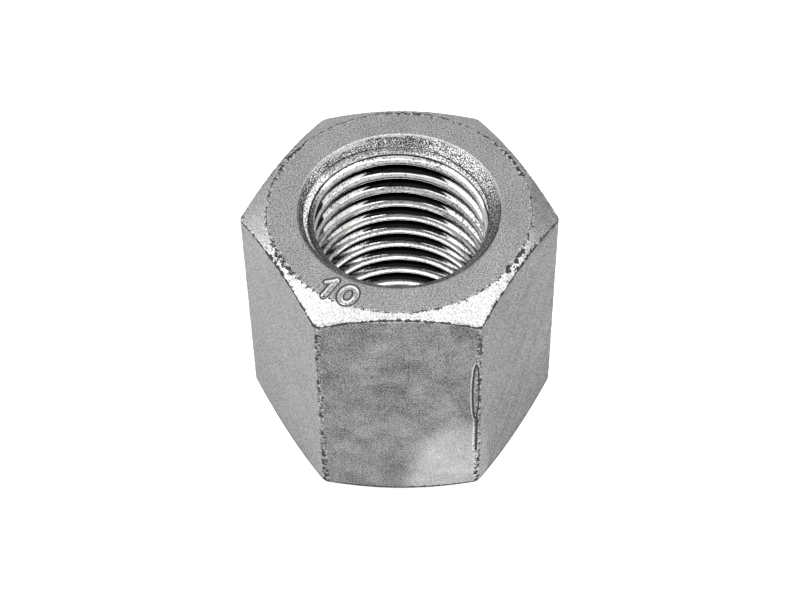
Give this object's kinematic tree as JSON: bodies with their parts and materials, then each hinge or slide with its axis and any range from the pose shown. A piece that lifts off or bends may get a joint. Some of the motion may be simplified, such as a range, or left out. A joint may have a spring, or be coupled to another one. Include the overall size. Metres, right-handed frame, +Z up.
{
  "type": "wheel nut",
  "caption": "Tall hexagonal wheel nut of plated steel, chamfered at both ends, with a countersunk right-hand threaded bore",
  "frame": {"origin": "middle of the lower face, on the bore's axis", "axes": "+Z runs up the bore to the upper face, one flat faces -Y and two corners lie on the X axis"},
  "size_m": [0.0366, 0.032, 0.0335],
  "materials": {
    "plated_steel": "dull zinc plating with worn dark edges"
  },
  "bodies": {
    "root": {"nut": "plated_steel"}
  },
  "joints": []
}
